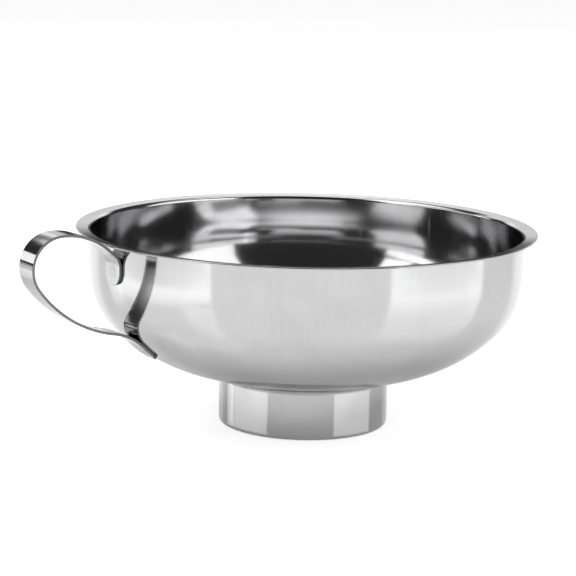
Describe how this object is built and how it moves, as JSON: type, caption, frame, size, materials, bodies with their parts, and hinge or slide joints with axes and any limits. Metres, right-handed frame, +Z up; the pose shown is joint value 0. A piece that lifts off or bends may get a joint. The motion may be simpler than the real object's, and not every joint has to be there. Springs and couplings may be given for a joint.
{
  "type": "canning funnel",
  "caption": "Round wide-mouth canning funnel: deep steel bowl with a flared lip, a short straight neck that sits in a jar, and a strap loop handle.",
  "frame": {"origin": "on the funnel's axis, in the plane of the neck's mouth, which is the plane that the funnel stands on", "axes": "+Z up along the funnel's axis, from the neck's mouth to the rim; -X towards the handle; the XZ plane is the mirror plane"},
  "size_m": [0.1644, 0.14, 0.0646],
  "materials": {
    "bowl_steel": "fine satin brushed outside, polished inside",
    "neck_steel": "bright polished",
    "strap_steel": "bright polished strip with deburred edges",
    "weld_steel": "dressed weld"
  },
  "bodies": {
    "root": {"bowl": "bowl_steel", "neck": "neck_steel", "neck_seam_weld": "weld_steel", "handle": "strap_steel", "upper_spot_weld": "weld_steel", "tail_spot_weld": "weld_steel"}
  },
  "joints": []
}
